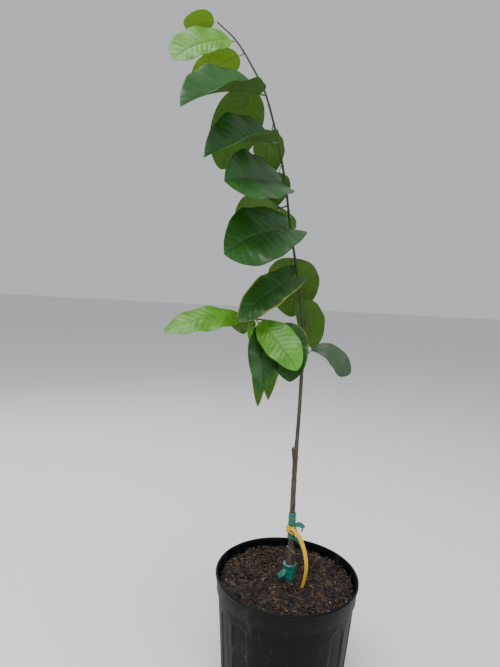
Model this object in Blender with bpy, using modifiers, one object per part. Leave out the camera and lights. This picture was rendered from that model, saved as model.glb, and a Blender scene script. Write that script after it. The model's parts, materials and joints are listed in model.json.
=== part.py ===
"""A young grafted atemoya tree in a ribbed black nursery pot.

Metres, +Z up. The origin is the middle of the pot's flat underside, and -Y is the side seen first.
"""

from dataclasses import dataclass
import math

import bmesh
import bpy
from mathutils import Matrix, Vector, noise
import numpy as np

CLEAR = 0.0003

# Pot
POT_HEIGHT = 0.240
LIP_RADIUS = 0.140
LIP_HEIGHT = 0.007
BAND_RADIUS = 0.1375
BAND_FOOT = 0.206
LEDGE_STEP = 0.0014
LEDGE_HEIGHT = 0.0032
FOOT_RADIUS = 0.1175
WALL = 0.0024
POT_SIDES = 60

# Flutes pressed into the pot's sides, between a plain front panel and a plain back panel
FLUTES_A_SIDE = 6
FLUTE_PITCH = 19.0
FLUTE_WIDTH = 0.036
FLUTE_TOP = 0.188
FLUTE_FOOT = 0.022
FLUTE_DEPTH = 0.0013

DRAIN_HOLES = 8
DRAIN_RING = 0.094
DRAIN_RADIUS = 0.006

# Potting mix
SOIL_LEVEL = 0.218
SOIL_MOUND = 0.005
SOIL_ROUGHNESS = 0.003
SOIL_SIDES = 44
SOIL_RINGS = 7
SEAT_RADIUS = 0.018

# Trunk: (x, y, z) of its middle line and its radius there, from the soil to the tip
TRUNK_FOOT = SOIL_LEVEL + SOIL_MOUND + CLEAR
TRUNK_ROUTE = (
    (0.005, 0.000, TRUNK_FOOT, 0.0052),
    (0.005, 0.001, 0.300, 0.0050),
    (0.004, 0.002, 0.400, 0.0050),
    (0.004, 0.002, 0.470, 0.0048),
    (0.005, 0.001, 0.510, 0.0037),
    (0.006, 0.001, 0.590, 0.0035),
    (0.006, 0.000, 0.640, 0.0034),
    (0.009, 0.000, 0.680, 0.0036),
    (0.006, 0.000, 0.712, 0.0038),
    (-0.001, 0.000, 0.745, 0.0025),
    (-0.013, 0.000, 0.820, 0.0024),
    (-0.031, 0.000, 0.905, 0.0023),
    (-0.045, 0.000, 0.985, 0.0022),
    (-0.063, 0.000, 1.062, 0.0021),
    (-0.090, 0.000, 1.146, 0.0019),
    (-0.112, 0.000, 1.186, 0.0017),
    (-0.148, 0.000, 1.238, 0.0014),
    (-0.186, 0.000, 1.271, 0.0011),
)
TRUNK_SPACING = 0.022

# Rootstock, cut off on a slant above the graft
STOCK_MIDDLE = 0.006
STOCK_RADIUS = 0.0095
STOCK_FLARE = 0.0115
STOCK_TOP = 0.286
STOCK_SLANT = 40.0

# Pruned stubs: foot, tip and radius
STUBS = (
    ((0.0035, 0.002, 0.452), (-0.0010, 0.001, 0.490), 0.0040),
    ((0.0070, 0.000, 0.700), (0.0075, 0.001, 0.742), 0.0021),
)

# Side shoot: its middle line from the fork towards the front left
SHOOT_ROUTE = (
    (0.006, 0.000, 0.712),
    (-0.010, -0.016, 0.722),
    (-0.045, -0.036, 0.733),
    (-0.075, -0.048, 0.737),
    (-0.098, -0.056, 0.738),
)
SHOOT_RADII = (0.0018, 0.0013)
SHOOT_SPACING = 0.009

# Leaves
LEAF_STEPS = 10
HALF_STEPS = 2
RIB_STATIONS = 40
LEAF_THICKNESS = 0.0017
THICKNESS_SHARE = 0.011
RIB_SHARE = 0.011
RIB_THINNEST = 0.0008
RIB_THICKEST = 0.0018
RIB_REACH = 0.6
NARROWEST = 0.03
PETIOLE_GAP = 0.0011

# Ties and tag
UPPER_TIE = (0.310, 0.357, 0.0058, 0.0076)
TAG_COLLAR = (0.319, 0.337, 0.0100, 0.0114)
TAG_TAIL = ((0.008, -0.0105, 0.330), (0.018, -0.016, 0.320), (0.029, -0.023, 0.298), (0.034, -0.030, 0.268),
            (0.027, -0.039, 0.232))
TAG_WIDTH = 0.011
TAG_THICKNESS = 0.0012
LOWER_TIE = (0.229, 0.256, 0.0118, 0.0136)


@dataclass
class Leaf:
    """One leaf. Angles are in degrees, lengths in metres.

    Seen from its foot, the blade points turn degrees round from +X and rise degrees above level. It sinks by
    droop and swings by swing on its way to the tip. Roll tips it about its rib, right side up, and twist adds
    to that by the tip. The right and left halves fold up from the rib by right and left degrees.
    """

    name: str
    foot: float
    turn: float
    rise: float
    droop: float
    length: float
    width: float
    stem: str = "trunk"
    petiole: float = 0.012
    swing: float = 0.0
    roll: float = 0.0
    twist: float = 0.0
    right: float = 5.0
    left: float = 5.0
    right_wide: float = 1.0
    left_wide: float = 1.0
    curl: float = 0.0
    bend: float = 1.0
    base: float = 0.5
    tip: float = 0.65
    skew: float = 0.0
    square: float = 0.0
    lobes: float = 0.0
    wave: float = 0.003
    waves: float = 3.0
    young: bool = False


LEAVES = (
    Leaf("leaf_tip", 1.2709, 178, 0, 5, 0.056, 0.040, petiole=0.003, roll=-38, base=0.45, tip=0.55,
         skew=-0.15, wave=0.0, young=True),
    Leaf("leaf_crown_front", 1.238, 218, -14, 34, 0.134, 0.064, petiole=0.012, roll=60, right=0, left=4,
         right_wide=1.1, left_wide=0.75, base=0.4, tip=0.45, wave=0.002, young=True),
    Leaf("leaf_crown_back", 1.218, 150, -8, 28, 0.115, 0.065, petiole=0.010, roll=-30, wave=0.002, young=True),
    Leaf("leaf_front_1", 1.146, 224, -7, 32, 0.200, 0.120, petiole=0.012, swing=8, roll=45, right=10,
         left=50, tip=0.75, skew=0.12),
    Leaf("leaf_back_1", 1.172, 128, -34, 40, 0.165, 0.105, petiole=0.018, roll=-30, left_wide=0.85),
    Leaf("leaf_front_2", 1.062, 226, -8, 27, 0.185, 0.120, petiole=0.012, swing=8, roll=45, right=15,
         left=52, tip=0.85, skew=0.15, wave=0.004),
    Leaf("leaf_back_2", 1.098, 95, -20, 45, 0.110, 0.064, petiole=0.020, roll=-18),
    Leaf("leaf_front_3", 0.985, 232, 0, 20, 0.172, 0.124, swing=8, roll=42, twist=20, right=10, left=18,
         skew=0.2, square=0.06, lobes=0.02),
    Leaf("leaf_back_3", 1.026, 98, -22, 42, 0.085, 0.060, petiole=0.026, roll=-12),
    Leaf("leaf_front_4", 0.908, 228, -10, 22, 0.178, 0.125, swing=8, roll=36, twist=20, left=12, skew=0.2,
         square=0.1, lobes=0.04),
    Leaf("leaf_back_4", 0.950, 116, 0, 65, 0.145, 0.128, petiole=0.022, roll=-25),
    Leaf("leaf_front_5", 0.820, 228, -21, 17, 0.158, 0.070, petiole=0.016, roll=38, left=0, left_wide=0.85,
         skew=0.1, square=0.1, lobes=0.04),
    Leaf("leaf_back_5", 0.862, 85, -40, 50, 0.130, 0.105, roll=-5),
    Leaf("leaf_right_1", 0.775, 50, -40, 50, 0.102, 0.057, roll=20, tip=0.8, square=0.06, lobes=0.01),
    Leaf("leaf_right_2", 0.674, 345, 45, 125, 0.092, 0.042, petiole=0.010, bend=0.6, roll=-48, base=0.6,
         tip=0.3, wave=0.001),
    Leaf("shoot_leaf_long", 1.0, 200, 8, 38, 0.150, 0.060, stem="shoot", petiole=0.006, roll=30, left=-12,
         base=0.7, tip=0.75, wave=0.002, young=True),
    Leaf("shoot_leaf_bright", 0.95, 322, -30, 22, 0.114, 0.062, stem="shoot", petiole=0.011, roll=-38,
         left_wide=1.15, base=0.6, tip=0.65, wave=0.002, young=True),
    Leaf("shoot_leaf_dark", 0.81, 275, -62, 18, 0.125, 0.052, stem="shoot", petiole=0.008, roll=-5,
         tip=0.75, wave=0.002),
    Leaf("shoot_leaf_slim", 0.77, 98, -76, 12, 0.152, 0.034, stem="shoot", petiole=0.016, tip=0.8, wave=0.002),
    Leaf("shoot_leaf_hanging", 0.68, 85, -50, 35, 0.165, 0.050, stem="shoot", petiole=0.016, roll=10,
         tip=0.9, wave=0.002),
    Leaf("shoot_leaf_broad", 0.61, 305, -42, 40, 0.108, 0.074, stem="shoot", petiole=0.010, swing=-20,
         roll=-45, left_wide=1.1, wave=0.002),
    Leaf("shoot_leaf_torn", 0.88, 150, -25, 10, 0.042, 0.038, stem="shoot", petiole=0.006, roll=-40,
         base=0.3, tip=0.15, wave=0.002),
    Leaf("shoot_leaf_young", 0.96, 262, -30, 25, 0.040, 0.014, stem="shoot", petiole=0.010, roll=50, wave=0.0,
         young=True),
)


def clear_scene():
    for obj in list(bpy.data.objects):
        bpy.data.objects.remove(obj, do_unlink=True)


def new_collection(name):
    collection = bpy.data.collections.new(name)
    bpy.context.scene.collection.children.link(collection)
    return collection


def new_material(name, colour, roughness):
    material = bpy.data.materials.new(name)
    material.use_nodes = True
    shader = material.node_tree.nodes["Principled BSDF"]
    shader.inputs["Base Color"].default_value = (*colour, 1.0)
    shader.inputs["Roughness"].default_value = roughness
    shader.inputs["Metallic"].default_value = 0.0
    return material


clear_scene()
PARTS = new_collection("potted_atemoya_tree")
CUTTERS = new_collection("cutters")
PLASTIC = new_material("black_plastic", (0.018, 0.019, 0.022), 0.45)
MIX = new_material("potting_mix", (0.045, 0.030, 0.020), 0.95)
BARK = new_material("bark", (0.12, 0.10, 0.075), 0.8)
GREEN_BARK = new_material("green_bark", (0.10, 0.16, 0.05), 0.6)
DARK_LEAF = new_material("dark_leaf", (0.035, 0.13, 0.02), 0.35)
YOUNG_LEAF = new_material("young_leaf", (0.20, 0.36, 0.04), 0.4)
TEAL_TAPE = new_material("teal_tape", (0.02, 0.30, 0.24), 0.4)
YELLOW_STRIP = new_material("yellow_strip", (0.80, 0.62, 0.03), 0.5)


def add_part(name, mesh, material, collection=PARTS):
    obj = bpy.data.objects.new(name, mesh)
    obj.data.materials.clear()
    obj.data.materials.append(material)
    collection.objects.link(obj)
    return obj


def as_helper(obj):
    """Keeps a cutter or a piece to be joined out of the model itself."""
    for collection in list(obj.users_collection):
        collection.objects.unlink(obj)
    CUTTERS.objects.link(obj)
    obj.hide_render = True
    obj.display_type = "WIRE"
    return obj


def settled(obj, material, collection=PARTS):
    """The object as its modifiers or bevel leave it, as a plain mesh with its caps welded."""
    name = obj.name
    graph = bpy.context.evaluated_depsgraph_get()
    mesh = bpy.data.meshes.new_from_object(obj.evaluated_get(graph))
    bm = bmesh.new()
    bm.from_mesh(mesh)
    bmesh.ops.remove_doubles(bm, verts=bm.verts, dist=1e-6)
    bmesh.ops.recalc_face_normals(bm, faces=bm.faces)
    bm.to_mesh(mesh)
    bm.free()
    matrix = obj.matrix_world.copy()
    bpy.data.objects.remove(obj, do_unlink=True)
    plain = add_part(name, mesh, material, collection)
    plain.matrix_world = matrix
    return plain


def boolean(obj, other, operation):
    as_helper(other)
    modifier = obj.modifiers.new(f"{operation.lower()} {other.name}", "BOOLEAN")
    modifier.operation = operation
    modifier.solver = "EXACT"
    modifier.object = other


def smooth_shade(obj, angle=math.radians(35)):
    obj.data.shade_smooth()
    obj.data.set_sharp_from_angle(angle=angle)


def through(points, spacing):
    """Points about this far apart on a smooth curve through these ones, each with any further values it has."""
    rows = [np.array(point, float) for point in points]
    rows = [2 * rows[0] - rows[1], *rows, 2 * rows[-1] - rows[-2]]
    found = []
    for before, start, end, after in zip(rows, rows[1:], rows[2:], rows[3:]):
        steps = max(1, round(float(np.linalg.norm((end - start)[:3])) / spacing))
        for step in range(steps):
            t = step / steps
            linear = (end - before) * t
            square = (2 * before - 5 * start + 4 * end - after) * t**2
            cube = (3 * start - before - 3 * end + after) * t**3
            found.append(start + 0.5 * (linear + square + cube))
    return np.array([*found, rows[-2]])


def tube(name, points, radii, material, resolution=2):
    curve = bpy.data.curves.new(name, "CURVE")
    curve.dimensions = "3D"
    curve.bevel_depth = 1.0
    curve.bevel_resolution = resolution
    curve.use_fill_caps = True
    spline = curve.splines.new("POLY")
    spline.points.add(len(points) - 1)
    for knot, point, radius in zip(spline.points, points, radii):
        knot.co = (*point[:3], 1.0)
        knot.radius = radius
    obj = bpy.data.objects.new(name, curve)
    PARTS.objects.link(obj)
    return settled(obj, material)


def turned(name, profile, steps, material):
    """A closed (radius, height) outline turned about Z. At +X it runs down its outer side."""
    mesh = bpy.data.meshes.new(name)
    points = [(radius, 0.0, height) for radius, height in profile]
    count = len(points)
    closed = profile[0][0] > 0
    edges = [(i, i + 1) for i in range(count - 1)]
    if closed:
        edges.append((count - 1, 0))
    mesh.from_pydata(points, edges, [])
    obj = add_part(name, mesh, material)
    screw = obj.modifiers.new("turn", "SCREW")
    screw.steps = steps
    screw.render_steps = steps
    screw.use_merge_vertices = True
    screw.merge_threshold = 0.00005
    return obj


def pot_wall(height):
    """Outer radius of the fluted wall at this height."""
    share = height / (BAND_FOOT - LEDGE_HEIGHT)
    top = BAND_RADIUS - 0.001 - 2 * LEDGE_STEP
    return FOOT_RADIUS + (top - FOOT_RADIUS) * share


def inner_wall(height):
    """Inner radius of the pot up to its band."""
    return pot_wall(height) - WALL


def make_flutes():
    """Round-headed panels that sink into both sides of the pot's wall."""
    ring = turned(
        "flute_shell",
        [
            (pot_wall(POT_HEIGHT) + 0.01, POT_HEIGHT),
            (pot_wall(0) + 0.01, 0.0),
            (pot_wall(0) - FLUTE_DEPTH, 0.0),
            (pot_wall(POT_HEIGHT) - FLUTE_DEPTH, POT_HEIGHT),
        ],
        POT_SIDES,
        PLASTIC,
    )
    half = FLUTE_WIDTH / 2
    head = [(half * math.cos(a), FLUTE_TOP - half + half * math.sin(a)) for a in np.linspace(0, math.pi, 9)]
    outline = [(half, FLUTE_FOOT), *head, (-half, FLUTE_FOOT)]
    panels = bmesh.new()
    for side in (-1, 1):
        for index in range(FLUTES_A_SIDE):
            angle = math.radians(side * (90 + FLUTE_PITCH * (index - (FLUTES_A_SIDE - 1) / 2)) - 90)
            outward = Vector((math.cos(angle), math.sin(angle), 0))
            across = Vector((-math.sin(angle), math.cos(angle), 0))
            verts = [panels.verts.new(outward * 0.09 + across * x + Vector((0, 0, z))) for x, z in outline]
            face = panels.faces.new(verts)
            grown = bmesh.ops.extrude_face_region(panels, geom=[face])["geom"]
            moved = [item for item in grown if isinstance(item, bmesh.types.BMVert)]
            bmesh.ops.translate(panels, verts=moved, vec=outward * 0.08)
    bmesh.ops.recalc_face_normals(panels, faces=panels.faces)
    mesh = bpy.data.meshes.new("flute_panels")
    panels.to_mesh(mesh)
    panels.free()
    boolean(ring, add_part("flute_panels", mesh, PLASTIC), "INTERSECT")
    return ring


def make_drain_holes():
    holes = bmesh.new()
    for index in range(DRAIN_HOLES):
        angle = math.tau * (index + 0.5) / DRAIN_HOLES
        made = bmesh.ops.create_cone(
            holes, cap_ends=True, segments=14, radius1=DRAIN_RADIUS, radius2=DRAIN_RADIUS, depth=0.03
        )
        place = (DRAIN_RING * math.cos(angle), DRAIN_RING * math.sin(angle), 0.0)
        bmesh.ops.translate(holes, verts=made["verts"], vec=place)
    mesh = bpy.data.meshes.new("drain_holes")
    holes.to_mesh(mesh)
    holes.free()
    return add_part("drain_holes", mesh, PLASTIC)


def make_pot():
    lip_foot = POT_HEIGHT - LIP_HEIGHT
    ledge = BAND_FOOT - LEDGE_HEIGHT
    outer = [
        (0.0, POT_HEIGHT),
        (LIP_RADIUS - 0.0016, POT_HEIGHT),
        (LIP_RADIUS - 0.0004, POT_HEIGHT - 0.0008),
        (LIP_RADIUS, POT_HEIGHT - 0.0025),
        (LIP_RADIUS, lip_foot + 0.001),
        (BAND_RADIUS, lip_foot),
        (BAND_RADIUS - 0.001, BAND_FOOT),
        (BAND_RADIUS - 0.001 - LEDGE_STEP, BAND_FOOT - 0.0008),
        (BAND_RADIUS - 0.001 - LEDGE_STEP, ledge + 0.0008),
        (pot_wall(ledge), ledge),
        (pot_wall(0.004), 0.004),
        (FOOT_RADIUS - 0.003, 0.0),
        (0.0, 0.0),
    ]
    inner = [
        (0.0, WALL),
        (inner_wall(WALL), WALL),
        (inner_wall(ledge), ledge),
        (BAND_RADIUS - WALL - 0.001, BAND_FOOT),
        (BAND_RADIUS - WALL, lip_foot),
        (LIP_RADIUS - 0.0040, POT_HEIGHT),
    ]
    profile = outer[1:] + inner
    pot = turned("pot", profile, POT_SIDES, PLASTIC)
    boolean(pot, make_flutes(), "DIFFERENCE")
    boolean(pot, make_drain_holes(), "DIFFERENCE")
    smooth_shade(pot)
    return pot


def soil_height(x, y):
    """Height of the potting mix: a low mound, rough all over but level where the trunk stands."""
    distance = math.hypot(x - STOCK_MIDDLE, y)
    mound = SOIL_MOUND * max(0.0, 1 - distance / LIP_RADIUS) ** 0.5
    rough = min(1.0, max(0.0, (distance - SEAT_RADIUS) / 0.02))
    bumps = noise.noise(Vector((x, y, 0.3)) * 60) + 0.6 * noise.noise(Vector((y, x, 4.1)) * 130)
    level = SOIL_MOUND * (1 - rough) + mound * rough
    return SOIL_LEVEL + level + SOIL_ROUGHNESS * bumps * rough


def make_soil():
    floor = WALL + CLEAR
    edge = inner_wall(BAND_FOOT - LEDGE_HEIGHT) - CLEAR
    rim = edge + (SOIL_LEVEL - BAND_FOOT) * 0.02
    top = [(rim * ring / SOIL_RINGS, SOIL_LEVEL) for ring in range(SOIL_RINGS + 1)]
    profile = [*top, (edge, BAND_FOOT - LEDGE_HEIGHT), (inner_wall(floor) - CLEAR, floor), (0.0, floor)]
    mesh_object = settled(turned("soil", profile, SOIL_SIDES, MIX), MIX)
    for vertex in mesh_object.data.vertices:
        if vertex.co.z > SOIL_LEVEL - 0.0001:
            vertex.co.z = soil_height(vertex.co.x, vertex.co.y)
    smooth_shade(mesh_object)
    return mesh_object


TRUNK_LINE = through(TRUNK_ROUTE, TRUNK_SPACING)
SHOOT_LINE = through(SHOOT_ROUTE, SHOOT_SPACING)


def trunk_at(height):
    """Middle of the trunk at this height, and its radius there."""
    values = [np.interp(height, TRUNK_LINE[:, 2], TRUNK_LINE[:, column]) for column in (0, 1, 3)]
    return np.array([values[0], values[1], height]), float(values[2])


def shoot_at(share):
    """The side shoot's middle this share of the way along, and its radius there."""
    steps = np.linalg.norm(np.diff(SHOOT_LINE, axis=0), axis=1)
    along = np.concatenate([[0.0], np.cumsum(steps)]) / steps.sum()
    middle = np.array([np.interp(share, along, SHOOT_LINE[:, column]) for column in range(3)])
    return middle, SHOOT_RADII[0] + (SHOOT_RADII[1] - SHOOT_RADII[0]) * share


def make_stock():
    profile = [
        (0.0, STOCK_TOP + 0.02),
        (STOCK_RADIUS - 0.0005, STOCK_TOP + 0.02),
        (STOCK_RADIUS, 0.262),
        (STOCK_RADIUS + 0.0003, 0.236),
        (STOCK_FLARE, TRUNK_FOOT),
        (0.0, TRUNK_FOOT),
    ]
    stock = turned("rootstock", profile, 16, BARK)
    stock.location.x = STOCK_MIDDLE
    slab = bmesh.new()
    bmesh.ops.create_cube(slab, size=0.08)
    mesh = bpy.data.meshes.new("stock_cut")
    slab.to_mesh(mesh)
    slab.free()
    cut = add_part("stock_cut", mesh, BARK)
    cut.location = (STOCK_MIDDLE + 0.024, -0.004, STOCK_TOP + 0.033)
    cut.rotation_euler = (math.radians(-10), math.radians(STOCK_SLANT), 0)
    boolean(stock, cut, "DIFFERENCE")
    bpy.context.view_layer.update()
    return settled(stock, BARK)


def make_trunk():
    trunk = tube("trunk", TRUNK_LINE, TRUNK_LINE[:, 3], BARK)
    boolean(trunk, make_stock(), "UNION")
    for index, (foot, tip, radius) in enumerate(STUBS, 1):
        stub = tube(f"stub_{index}", [foot, tip], [radius, radius * 0.95], BARK)
        boolean(trunk, stub, "UNION")
    smooth_shade(trunk)
    return trunk


def make_shoot():
    """The side shoot, from just clear of the trunk's bark to its growing end."""
    fork, bark = trunk_at(SHOOT_ROUTE[0][2])
    outside = [point for point in SHOOT_LINE if np.linalg.norm(point - fork) > bark + 6 * CLEAR]
    start = fork + (outside[0] - fork) * (bark + 5 * CLEAR) / np.linalg.norm(outside[0] - fork)
    points = [start, *outside[1:]]
    radii = np.linspace(*SHOOT_RADII, len(points))
    shoot = tube("side_shoot", points, radii, GREEN_BARK)
    smooth_shade(shoot)
    return shoot


def heading(turn, rise):
    turn, rise = math.radians(turn), math.radians(rise)
    return np.array([math.cos(rise) * math.cos(turn), math.cos(rise) * math.sin(turn), math.sin(rise)])


class Blade:
    """Places the points of one leaf's blade and rib."""

    def __init__(self, leaf):
        self.leaf = leaf
        self.stem, self.bark = trunk_at(leaf.foot) if leaf.stem == "trunk" else shoot_at(leaf.foot)
        out = heading(leaf.turn, 0)
        self.skin = self.stem + out * (self.bark + PETIOLE_GAP)
        self.knee = self.skin + out * PETIOLE_GAP
        points = [self.knee + heading(leaf.turn, leaf.rise) * leaf.petiole]
        for station in range(RIB_STATIONS):
            share = (station + 0.5) / RIB_STATIONS
            points.append(points[-1] + leaf.length / RIB_STATIONS * heading(*self.course(share)))
        self.rib = np.array(points)

    def course(self, share):
        leaf = self.leaf
        return leaf.turn + leaf.swing * share, leaf.rise - leaf.droop * share**leaf.bend

    def rib_point(self, share):
        stations = np.linspace(0, 1, RIB_STATIONS + 1)
        return np.array([np.interp(share, stations, self.rib[:, axis]) for axis in range(3)])

    def frame(self, share):
        """Along the rib, out to the right and up from the blade."""
        turn, rise = self.course(share)
        along = heading(turn, rise)
        level = -heading(turn + 90, 0)
        above = np.cross(level, along)
        roll = math.radians(self.leaf.roll + self.leaf.twist * share)
        right = math.cos(roll) * level + math.sin(roll) * above
        return along, right, np.cross(right, along)

    def half_width(self, share, side):
        leaf = self.leaf
        base = leaf.base - side * leaf.skew / 2
        tip = leaf.tip + side * leaf.skew
        inset = leaf.square + (1 - leaf.square) * share
        full = (base / (base + tip)) ** base * (tip / (base + tip)) ** tip
        wide = leaf.right_wide if side > 0 else leaf.left_wide
        return wide * leaf.width / 2 * max(NARROWEST, inset**base * (1 - inset) ** tip / full)

    def point(self, share, across):
        """The blade's middle surface, from -1 at the left margin to 1 at the right one."""
        leaf = self.leaf
        along, right, above = self.frame(share)
        side = 1 if across >= 0 else -1
        out = abs(across)
        arc = math.radians(leaf.curl * out / 2)
        reach = self.half_width(share, side) * out * (math.sin(arc) / arc if arc else 1.0)
        fold = math.radians(leaf.right if side > 0 else leaf.left) - arc
        ends = min(1, 4 * share, 4 * (1 - share))
        phase = 0 if side > 0 else 1.7
        ripple = leaf.wave * math.sin(math.tau * leaf.waves * share + phase) * out**2 * ends
        back = leaf.lobes * math.sin(0.75 * math.pi * out) * (1 - share) ** 3
        sideways = side * reach * math.cos(fold) * right
        return self.rib_point(share) + sideways + (reach * math.sin(fold) + ripple) * above - back * along


def make_leaf(leaf):
    """A solid blade with its petiole and the thick part of its rib joined on."""
    blade = Blade(leaf)
    bm = bmesh.new()
    bmesh.ops.create_grid(bm, x_segments=LEAF_STEPS, y_segments=2 * HALF_STEPS, size=1.0)
    for vertex in bm.verts:
        share = 0.5 - 0.5 * math.cos(math.pi * (vertex.co.x + 1) / 2)
        vertex.co = blade.point(share, -vertex.co.y)
    bmesh.ops.recalc_face_normals(bm, faces=bm.faces)
    mesh = bpy.data.meshes.new(leaf.name)
    bm.to_mesh(mesh)
    bm.free()
    material = YOUNG_LEAF if leaf.young else DARK_LEAF
    obj = add_part(leaf.name, mesh, material)
    solidify = obj.modifiers.new("thickness", "SOLIDIFY")
    solidify.thickness = max(LEAF_THICKNESS, THICKNESS_SHARE * leaf.length)
    solidify.offset = 0.0
    thick = min(RIB_THICKEST, max(RIB_THINNEST, RIB_SHARE * leaf.length))
    shares = np.linspace(0, RIB_REACH, 6)
    below = [blade.frame(share)[2] * thick * 0.4 for share in shares]
    rib = [blade.rib_point(share) - drop for share, drop in zip(shares, below)]
    radii = [thick, thick, *np.linspace(thick, thick * 0.55, len(rib))]
    boolean(obj, tube(f"{leaf.name}_rib", [blade.skin, blade.knee, *rib], radii, material), "UNION")
    smooth_shade(obj, math.radians(50))
    return obj


def make_tie(name, foot, top, inner, outer):
    """A sleeve of wound tape round the stem, waisted where the turns pull in."""
    middle = (foot + top) / 2
    profile = [
        (inner + 0.0006, top),
        (outer - 0.0006, top),
        (outer, (top + middle) / 2),
        (outer - 0.0004, middle),
        (outer, (foot + middle) / 2),
        (outer - 0.0004, foot),
        (inner, foot),
    ]
    tie = turned(name, profile, 20, TEAL_TAPE)
    tie.location = (*trunk_at(middle)[0][:2], 0.0)
    smooth_shade(tie)
    return tie


def make_tag():
    """A yellow strip tag: a collar round the stem and a tail that hangs down over the potting mix."""
    foot, top, inner, outer = TAG_COLLAR
    collar = turned("plant_tag", [(inner, top), (outer, top), (outer, foot), (inner, foot)], 20, YELLOW_STRIP)
    middle = trunk_at(foot)[0]
    collar.data.transform(Matrix.Translation((middle[0], middle[1], 0.0)))
    route = through(TAG_TAIL, 0.012)
    bm = bmesh.new()
    bmesh.ops.create_grid(bm, x_segments=len(route) - 1, y_segments=1, size=1.0)
    stations = np.linspace(-1, 1, len(route))
    across = np.array([0.94, 0.34, 0.0]) * TAG_WIDTH / 2
    for vertex in bm.verts:
        middle = np.array([np.interp(vertex.co.x, stations, route[:, axis]) for axis in range(3)])
        vertex.co = middle + across * vertex.co.y
    mesh = bpy.data.meshes.new("tag_tail")
    bm.to_mesh(mesh)
    bm.free()
    tail = add_part("tag_tail", mesh, YELLOW_STRIP)
    solidify = tail.modifiers.new("thickness", "SOLIDIFY")
    solidify.thickness = TAG_THICKNESS
    solidify.offset = 0.0
    boolean(collar, tail, "UNION")
    return collar


make_pot()
make_soil()
make_trunk()
make_shoot()
for each in LEAVES:
    make_leaf(each)
make_tie("tie_upper", *UPPER_TIE)
make_tie("tie_lower", *LOWER_TIE)
make_tag()
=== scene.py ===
from dataclasses import dataclass
import json
import math
import random

import bmesh
import bpy
from mathutils import Euler, Matrix, Vector, noise
import numpy as np

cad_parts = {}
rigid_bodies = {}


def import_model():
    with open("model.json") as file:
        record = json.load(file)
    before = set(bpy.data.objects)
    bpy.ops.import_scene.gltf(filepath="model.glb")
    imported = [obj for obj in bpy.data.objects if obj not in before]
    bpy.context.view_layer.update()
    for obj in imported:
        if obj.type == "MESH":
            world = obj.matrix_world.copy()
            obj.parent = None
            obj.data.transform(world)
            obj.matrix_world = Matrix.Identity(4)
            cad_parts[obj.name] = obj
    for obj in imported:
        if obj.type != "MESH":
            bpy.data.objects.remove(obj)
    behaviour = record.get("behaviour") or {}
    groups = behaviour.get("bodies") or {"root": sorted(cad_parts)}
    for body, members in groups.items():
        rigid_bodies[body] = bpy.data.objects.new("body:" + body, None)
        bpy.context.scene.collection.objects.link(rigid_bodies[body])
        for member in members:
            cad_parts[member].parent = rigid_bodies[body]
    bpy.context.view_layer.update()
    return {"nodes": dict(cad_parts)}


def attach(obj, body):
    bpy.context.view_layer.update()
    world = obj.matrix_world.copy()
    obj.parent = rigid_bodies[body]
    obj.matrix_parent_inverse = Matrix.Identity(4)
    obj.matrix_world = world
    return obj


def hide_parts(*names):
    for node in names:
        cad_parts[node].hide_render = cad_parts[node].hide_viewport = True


for start_object in list(bpy.data.objects):
    bpy.data.objects.remove(start_object, do_unlink=True)
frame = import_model()
random.seed(7)


# Shader maths
class Socket:
    """A node output that can be written into sums."""

    def __init__(self, tree, output):
        self.tree = tree
        self.output = output

    def node(self, kind, settings=None, **inputs):
        made = self.tree.nodes.new(kind)
        for name, value in (settings or {}).items():
            setattr(made, name, value)
        for name, value in inputs.items():
            key = int(name[1:]) if name[0] == "i" and name[1:].isdigit() else name.replace("_", " ")
            if isinstance(value, Socket):
                self.tree.links.new(value.output, made.inputs[key])
            else:
                made.inputs[key].default_value = value
        return made

    def wrap(self, output):
        return Socket(self.tree, output)

    def math(self, operation, other=0.0, clamp=False):
        made = self.node("ShaderNodeMath", {"operation": operation, "use_clamp": clamp}, i0=self, i1=other)
        return self.wrap(made.outputs[0])

    def __add__(self, other):
        return self.math("ADD", other)

    __radd__ = __add__

    def __mul__(self, other):
        return self.math("MULTIPLY", other)

    __rmul__ = __mul__

    def __sub__(self, other):
        return self.math("SUBTRACT", other)

    def __rsub__(self, other):
        made = self.node("ShaderNodeMath", {"operation": "SUBTRACT"}, i0=other, i1=self)
        return self.wrap(made.outputs[0])

    def clamp(self):
        return self.math("ADD", 0.0, True)

    def veins(self, margin):
        """How much of a side vein or rib runs here. This socket is the share along the rib."""
        phase = (self - margin * (VEIN_SLANT - VEIN_SLANT * VEIN_EASE * self)) * VEIN_PAIRS
        off = ((phase + 0.5).math("FRACT") - 0.5).math("ABSOLUTE")
        side = (1 - off.step(0.015, 0.075)) * (1 - margin * VEIN_FADE)
        rib = 1 - (margin - self * 0.01).step(0.012, 0.045)
        return side.math("MAXIMUM", rib)

    def step(self, low, high):
        """0 below low and 1 above high, smooth between."""
        settings = {"interpolation_type": "SMOOTHSTEP"}
        made = self.node("ShaderNodeMapRange", settings, Value=self, From_Min=low, From_Max=high)
        return self.wrap(made.outputs[0])


def colour(factor, first, second):
    """A colour that goes from the first one to the second as the factor goes from 0 to 1."""
    first, second = (tint if isinstance(tint, Socket) else (*tint, 1.0) for tint in (first, second))
    made = factor.node("ShaderNodeMix", {"data_type": "RGBA"}, i0=factor, i6=first, i7=second)
    return factor.wrap(made.outputs[2])


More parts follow.
